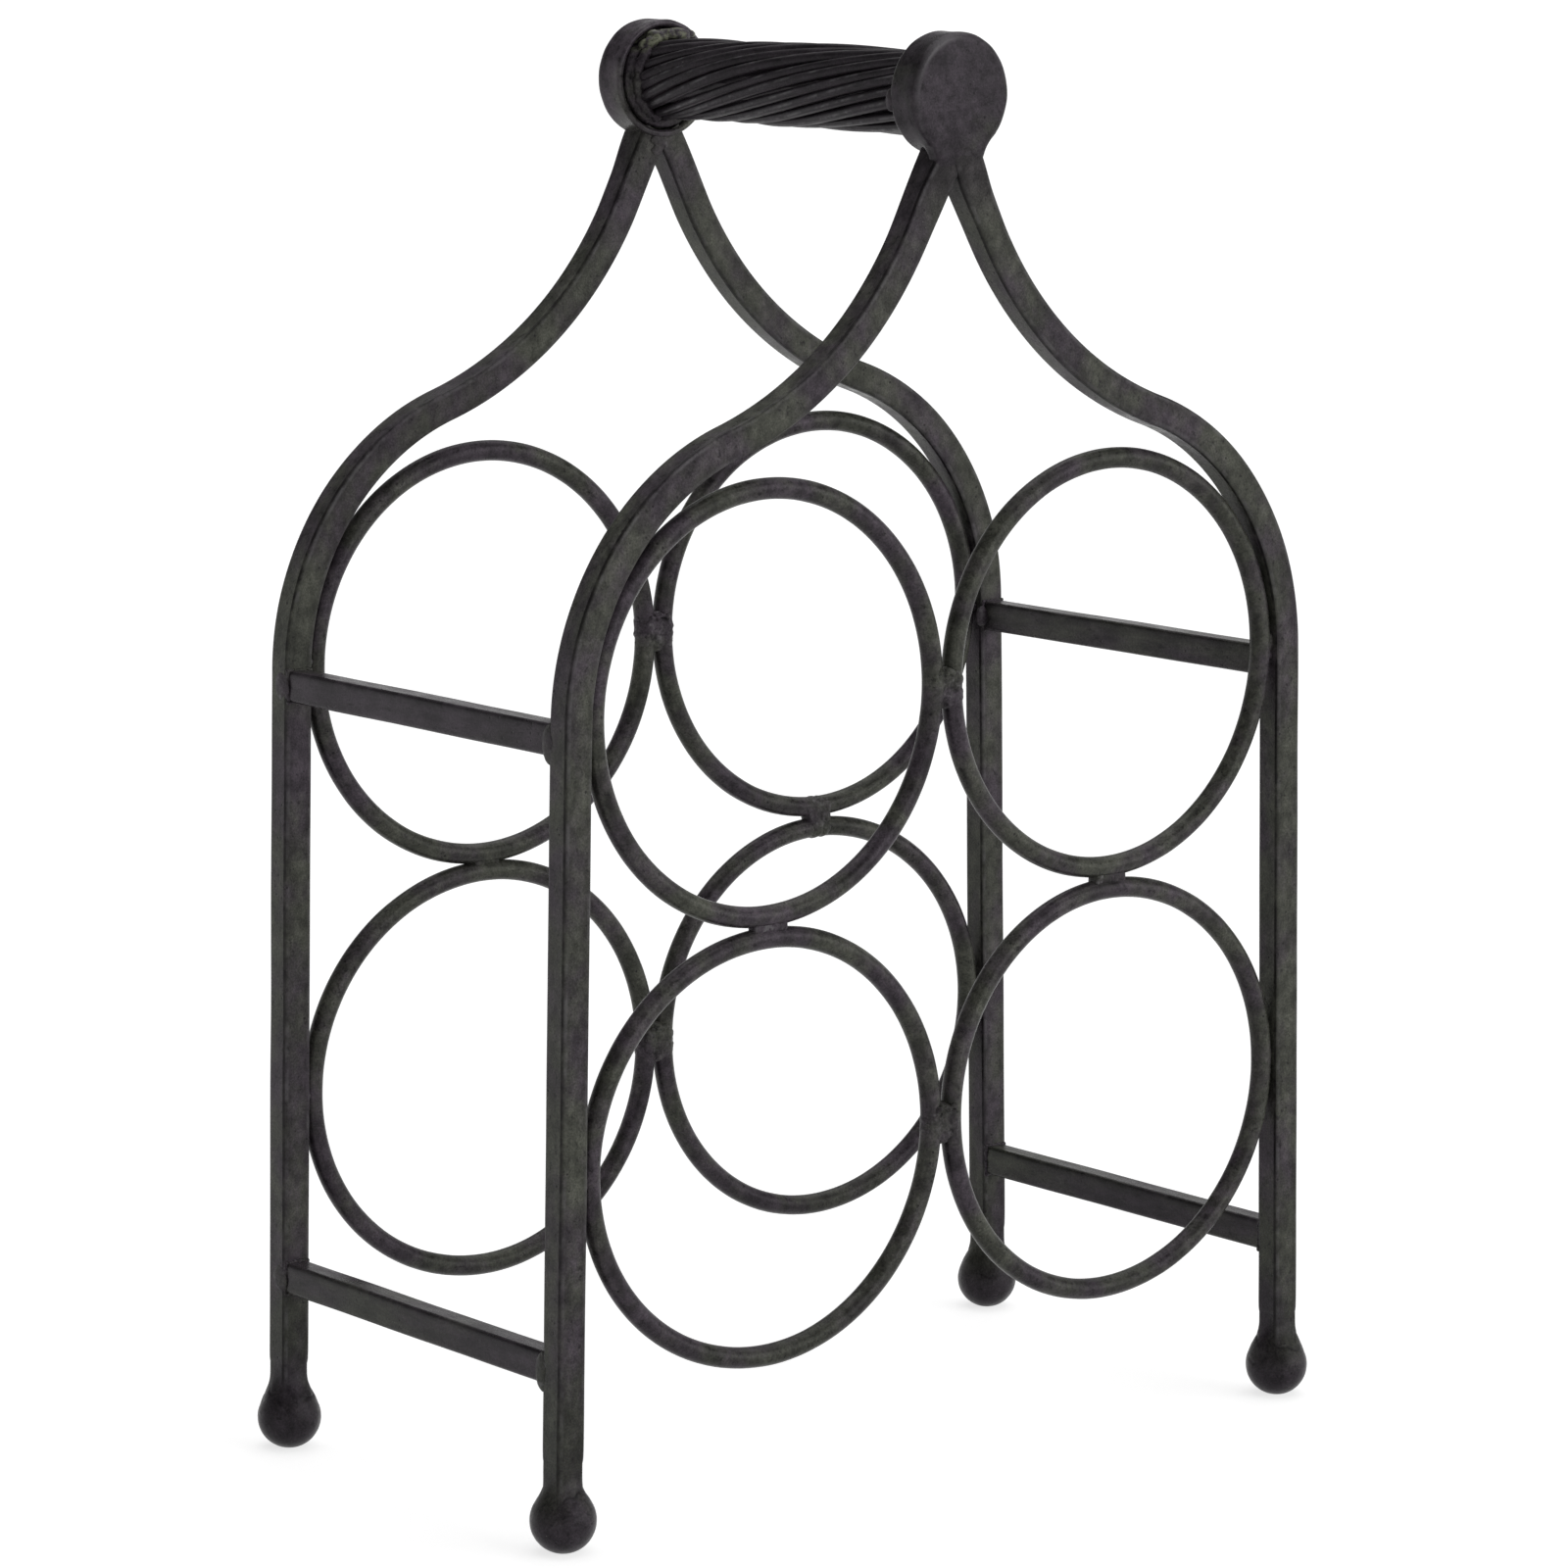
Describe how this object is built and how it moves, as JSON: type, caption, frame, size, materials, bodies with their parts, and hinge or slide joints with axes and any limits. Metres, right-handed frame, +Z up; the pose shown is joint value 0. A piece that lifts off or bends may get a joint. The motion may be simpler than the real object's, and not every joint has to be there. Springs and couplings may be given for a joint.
{
  "type": "wine rack",
  "caption": "Free-standing welded iron wine rack: bent bar frames with ball feet hold round bottle rings in two tiers under a twisted carrying handle.",
  "frame": {"origin": "on the floor, under the middle of the rack", "axes": "+Z up, +X from the left column of rings to the right one, -Y towards the front frame"},
  "size_m": [0.231, 0.1236, 0.3315],
  "materials": {
    "bar_iron": "dark patinated iron, satin",
    "rod_iron": "dark patinated iron, satin",
    "handle_iron": "dark patinated iron, satin",
    "weld_metal": "rough weld, dark patina"
  },
  "bodies": {
    "root": {"back_handle_cap": "handle_iron", "back_handle_weld": "weld_metal", "back_left_foot": "bar_iron", "back_left_tier_weld": "weld_metal", "back_left_upright": "bar_iron", "back_lower_left_ring": "rod_iron", "back_lower_right_ring": "rod_iron", "back_lower_ring_weld": "weld_metal", "back_right_foot": "bar_iron", "back_right_tier_weld": "weld_metal", "back_right_upright": "bar_iron", "back_upper_left_ring": "rod_iron", "back_upper_right_ring": "rod_iron", "back_upper_ring_weld": "weld_metal", "front_handle_cap": "handle_iron", "front_handle_weld": "weld_metal", "front_left_foot": "bar_iron", "front_left_tier_weld": "weld_metal", "front_left_upright": "bar_iron", "front_lower_left_ring": "rod_iron", "front_lower_right_ring": "rod_iron", "front_lower_ring_weld": "weld_metal", "front_right_foot": "bar_iron", "front_right_tier_weld": "weld_metal", "front_right_upright": "bar_iron", "front_upper_left_ring": "rod_iron", "front_upper_right_ring": "rod_iron", "front_upper_ring_weld": "weld_metal", "handle_core": "handle_iron", "handle_strand_01": "handle_iron", "handle_strand_02": "handle_iron", "handle_strand_03": "handle_iron", "handle_strand_04": "handle_iron", "handle_strand_05": "handle_iron", "handle_strand_06": "handle_iron", "handle_strand_07": "handle_iron", "handle_strand_08": "handle_iron", "handle_strand_09": "handle_iron", "handle_strand_10": "handle_iron", "handle_strand_11": "handle_iron", "handle_strand_12": "handle_iron", "handle_strand_13": "handle_iron", "handle_strand_14": "handle_iron", "handle_strand_15": "handle_iron", "handle_strand_16": "handle_iron", "handle_strand_17": "handle_iron", "handle_strand_18": "handle_iron", "handle_strand_19": "handle_iron", "handle_strand_20": "handle_iron", "left_lower_cross_bar": "bar_iron", "left_upper_cross_bar": "bar_iron", "right_lower_cross_bar": "bar_iron", "right_upper_cross_bar": "bar_iron"}
  },
  "joints": []
}
